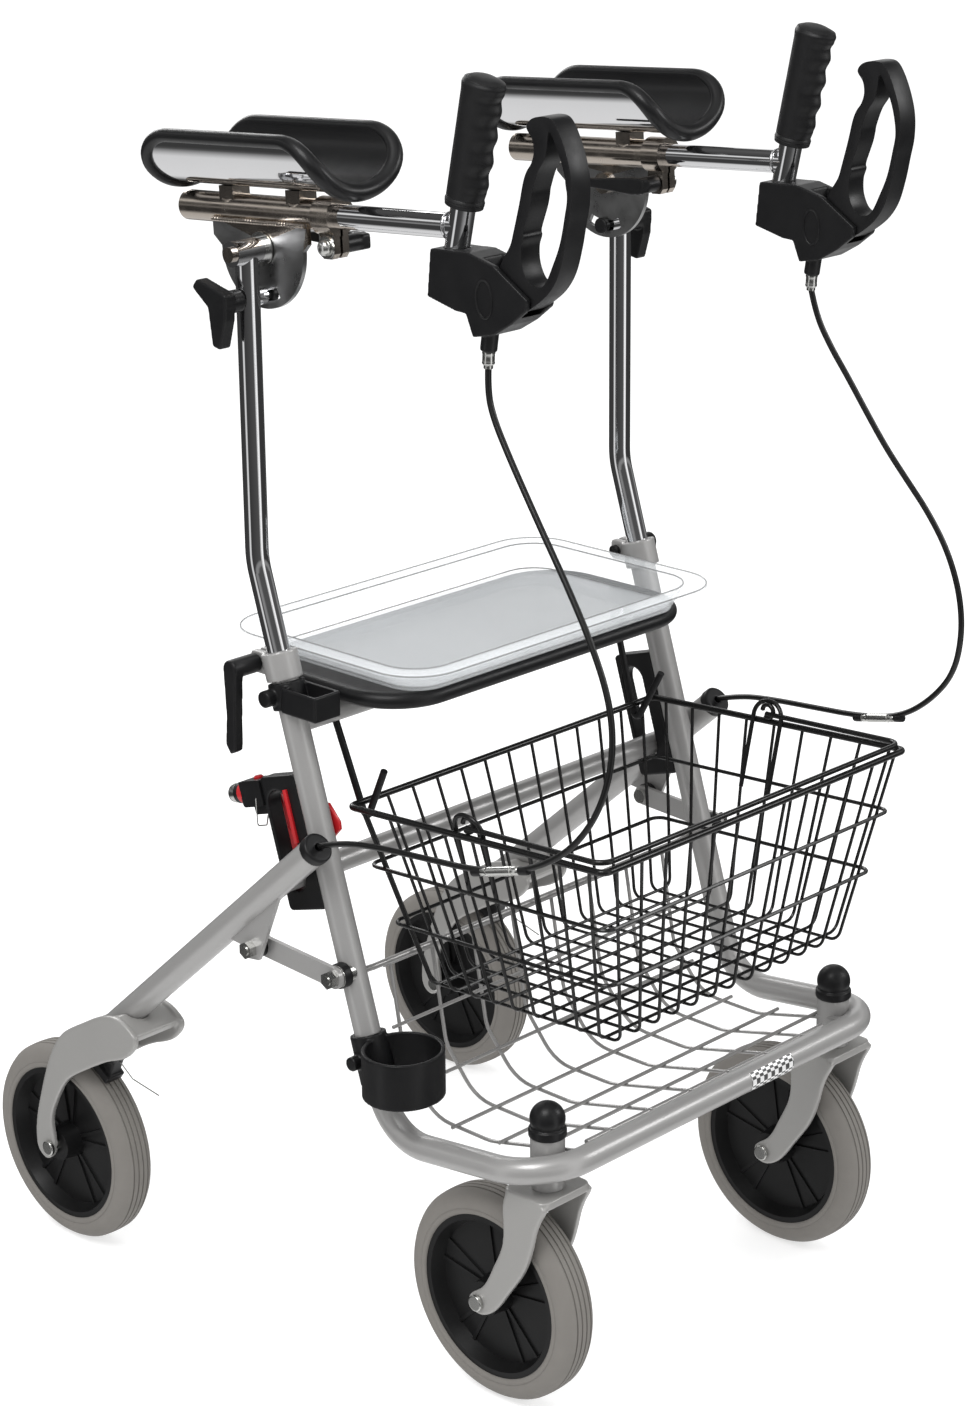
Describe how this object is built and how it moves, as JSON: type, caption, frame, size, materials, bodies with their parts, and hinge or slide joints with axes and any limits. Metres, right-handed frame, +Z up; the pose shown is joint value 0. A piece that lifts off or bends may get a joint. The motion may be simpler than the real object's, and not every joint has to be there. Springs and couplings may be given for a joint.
{
  "type": "forearm support rollator",
  "caption": "Wheeled walking frame with padded forearm troughs, hand brakes, folding rear legs, seat, tray, wire basket and lower rack.",
  "frame": {"origin": "on the floor in the middle plane, midway between the front of the basket and the back of the rear tyres", "axes": "+Z up, front of the walker faces -Y, +X is the user's left"},
  "size_m": [0.5544, 0.7186, 1.074],
  "materials": {
    "silver_paint": "satin silver paint",
    "cast_silver": "painted casting",
    "zinc": "bright zinc",
    "chrome": "polished plate",
    "satin_nickel": "satin plate",
    "black_plastic": "satin moulding",
    "red_plastic": "gloss moulding",
    "rack_wire": "grey coated wire",
    "basket_wire": "gloss black coated wire",
    "clear_tray": "clear moulding",
    "grip_rubber": "soft matt",
    "pad_foam": "skinned foam",
    "tyre": "grey solid tyre",
    "rim_plastic": "moulded rim",
    "cable_sheath": "smooth sheath"
  },
  "bodies": {
    "front_frame": {"front_frame": "silver_paint", "caster_sleeves": "silver_paint", "caster_caps": "black_plastic", "post_clamps": "silver_paint", "leg_pivot_bolts": "zinc", "seat_crossbar": "silver_paint", "seat_plate": "black_plastic", "fold_guides": "black_plastic", "fold_lock": "black_plastic", "luggage_rack": "rack_wire", "basket_hangers": "zinc", "cane_holder": "black_plastic", "brake_cable_left": "cable_sheath", "brake_cable_right": "cable_sheath"},
    "fold_latch": {"fold_latch": "red_plastic"},
    "stay_links": {"stay_links": "silver_paint"},
    "rear_frame": {"rear_frame": "silver_paint", "rear_leg_caps": "black_plastic", "rear_forks": "cast_silver", "rear_axles": "zinc", "bracket_pivot_bolts": "zinc"},
    "basket": {"basket": "basket_wire"},
    "basket_bail": {"basket_bail": "basket_wire"},
    "tray": {"tray": "clear_tray"},
    "rear_wheel_left": {"rear_tyre_left": "tyre", "rear_rim_left": "rim_plastic"},
    "caster_left": {"caster_fork_left": "cast_silver", "caster_axle_left": "zinc"},
    "front_wheel_left": {"front_tyre_left": "tyre", "front_rim_left": "rim_plastic"},
    "brake_shoe_left": {"brake_shoe_left": "black_plastic"},
    "post_left": {"post_left": "chrome"},
    "clamp_lever_left": {"clamp_lever_left": "black_plastic"},
    "armrest_left": {"armrest_bracket_left": "satin_nickel", "gutter_shell_left": "chrome", "gutter_pad_left": "pad_foam"},
    "rod_lever_left": {"rod_lever_left": "black_plastic"},
    "tilt_knob_left": {"tilt_knob_left": "black_plastic"},
    "handle_left": {"handle_tube_left": "chrome", "grip_left": "grip_rubber", "brake_housing_left": "black_plastic"},
    "brake_lever_left": {"brake_lever_left": "black_plastic"},
    "rear_wheel_right": {"rear_tyre_right": "tyre", "rear_rim_right": "rim_plastic"},
    "caster_right": {"caster_fork_right": "cast_silver", "caster_axle_right": "zinc"},
    "front_wheel_right": {"front_tyre_right": "tyre", "front_rim_right": "rim_plastic"},
    "brake_shoe_right": {"brake_shoe_right": "black_plastic"},
    "post_right": {"post_right": "chrome"},
    "clamp_lever_right": {"clamp_lever_right": "black_plastic"},
    "armrest_right": {"armrest_bracket_right": "satin_nickel", "gutter_shell_right": "chrome", "gutter_pad_right": "pad_foam"},
    "rod_lever_right": {"rod_lever_right": "black_plastic"},
    "tilt_knob_right": {"tilt_knob_right": "black_plastic"},
    "handle_right": {"handle_tube_right": "chrome", "grip_right": "grip_rubber", "brake_housing_right": "black_plastic"},
    "brake_lever_right": {"brake_lever_right": "black_plastic"}
  },
  "joints": [
    {"name": "fold_stay", "type": "hinge", "parent": "front_frame", "child": "stay_links", "pos_m": [0, -0.0966, 0.3485], "axis": [1, 0, 0], "range_deg": [0, 37.9]},
    {"name": "fold_rear", "type": "hinge", "parent": "stay_links", "child": "rear_frame", "pos_m": [0, -0.01, 0.353], "axis": [1, 0, 0], "range_deg": [-70, 0]},
    {"name": "fold_latch", "type": "hinge", "parent": "front_frame", "child": "fold_latch", "pos_m": [0, 0.00299, 0.46834], "axis": [1, 0, 0], "range_deg": [0, 50]},
    {"name": "rear_wheel_left", "type": "hinge", "parent": "rear_frame", "child": "rear_wheel_left", "pos_m": [0.2446, 0.246, 0.092], "axis": [1, 0, 0], "continuous": true},
    {"name": "caster_swivel_left", "type": "hinge", "parent": "front_frame", "child": "caster_left", "pos_m": [0.182, -0.279, 0.227], "axis": [0, 0, 1], "continuous": true},
    {"name": "front_wheel_left", "type": "hinge", "parent": "caster_left", "child": "front_wheel_left", "pos_m": [0.182, -0.227, 0.092], "axis": [1, 0, 0], "continuous": true},
    {"name": "post_height_left", "type": "slide", "parent": "front_frame", "child": "post_left", "axis": [0, 0.2907, 0.9568], "range_m": [-0.04, 0.11], "deforming": ["brake_cable_left"]},
    {"name": "clamp_lever_left", "type": "hinge", "parent": "front_frame", "child": "clamp_lever_left", "pos_m": [0.217, -0.00127, 0.593], "axis": [1, 0, 0], "range_deg": [0, 90]},
    {"name": "armrest_tilt_left", "type": "hinge", "parent": "post_left", "child": "armrest_left", "pos_m": [0.19, 0.00295, 0.924], "axis": [1, 0, 0], "range_deg": [-20, 20]},
    {"name": "tilt_knob_left", "type": "hinge", "parent": "post_left", "child": "tilt_knob_left", "pos_m": [0.217, 0.00295, 0.8874], "axis": [1, 0, 0], "range_deg": [0, 180]},
    {"name": "handle_slide_left", "type": "slide", "parent": "armrest_left", "child": "handle_left", "axis": [0, -0.9981, 0.061], "range_m": [-0.065, 0.05]},
    {"name": "rod_lever_left", "type": "hinge", "parent": "armrest_left", "child": "rod_lever_left", "pos_m": [0.19, -0.06762, 0.93333], "axis": [1, 0, 0], "range_deg": [0, 40]},
    {"name": "brake_lever_left", "type": "hinge", "parent": "handle_left", "child": "brake_lever_left", "pos_m": [0.19, -0.25979, 0.92003], "axis": [-1, 0, 0], "range_deg": [0, 14], "stiffness_Nm_per_rad": 1, "springref_deg": -11.46},
    {"name": "brake_shoe_left", "type": "hinge", "parent": "rear_frame", "child": "brake_shoe_left", "pos_m": [0.2446, 0.18, 0.195], "axis": [-1, 0, 0], "range_deg": [0, 4.1]},
    {"name": "rear_wheel_right", "type": "hinge", "parent": "rear_frame", "child": "rear_wheel_right", "pos_m": [-0.2446, 0.246, 0.092], "axis": [1, 0, 0], "continuous": true},
    {"name": "caster_swivel_right", "type": "hinge", "parent": "front_frame", "child": "caster_right", "pos_m": [-0.182, -0.279, 0.227], "axis": [0, 0, 1], "continuous": true},
    {"name": "front_wheel_right", "type": "hinge", "parent": "caster_right", "child": "front_wheel_right", "pos_m": [-0.182, -0.227, 0.092], "axis": [1, 0, 0], "continuous": true},
    {"name": "post_height_right", "type": "slide", "parent": "front_frame", "child": "post_right", "axis": [0, 0.2907, 0.9568], "range_m": [-0.04, 0.11], "deforming": ["brake_cable_right"]},
    {"name": "clamp_lever_right", "type": "hinge", "parent": "front_frame", "child": "clamp_lever_right", "pos_m": [-0.217, -0.00127, 0.593], "axis": [1, 0, 0], "range_deg": [0, 90]},
    {"name": "armrest_tilt_right", "type": "hinge", "parent": "post_right", "child": "armrest_right", "pos_m": [-0.19, 0.00295, 0.924], "axis": [1, 0, 0], "range_deg": [-20, 20]},
    {"name": "tilt_knob_right", "type": "hinge", "parent": "post_right", "child": "tilt_knob_right", "pos_m": [-0.217, 0.00295, 0.8874], "axis": [1, 0, 0], "range_deg": [0, 180]},
    {"name": "handle_slide_right", "type": "slide", "parent": "armrest_right", "child": "handle_right", "axis": [0, -0.9981, 0.061], "range_m": [-0.065, 0.05]},
    {"name": "rod_lever_right", "type": "hinge", "parent": "armrest_right", "child": "rod_lever_right", "pos_m": [-0.19, -0.06762, 0.93333], "axis": [1, 0, 0], "range_deg": [0, 40]},
    {"name": "brake_lever_right", "type": "hinge", "parent": "handle_right", "child": "brake_lever_right", "pos_m": [-0.19, -0.25979, 0.92003], "axis": [-1, 0, 0], "range_deg": [0, 14], "stiffness_Nm_per_rad": 1, "springref_deg": -11.46},
    {"name": "brake_shoe_right", "type": "hinge", "parent": "rear_frame", "child": "brake_shoe_right", "pos_m": [-0.2446, 0.18, 0.195], "axis": [-1, 0, 0], "range_deg": [0, 4.1]},
    {"name": "basket_lift", "type": "slide", "parent": "front_frame", "child": "basket", "axis": [0, 0, 1], "range_m": [0, 0.045]},
    {"name": "bail_swing", "type": "hinge", "parent": "basket", "child": "basket_bail", "pos_m": [0, -0.198, 0.48855], "axis": [-1, 0, 0], "range_deg": [0, 105]},
    {"name": "tray_lift", "type": "slide", "parent": "front_frame", "child": "tray", "axis": [0, 0, 1], "range_m": [0, 0.15]}
  ],
  "couplings": [
    {"joint": "fold_rear", "follows": "fold_stay", "ratio": -1.83},
    {"joint": "fold_latch", "follows": "fold_stay", "ratio": 1.3},
    {"joint": "brake_shoe_left", "follows": "brake_lever_left", "ratio": 0.28571},
    {"joint": "brake_shoe_right", "follows": "brake_lever_right", "ratio": 0.28571}
  ]
}
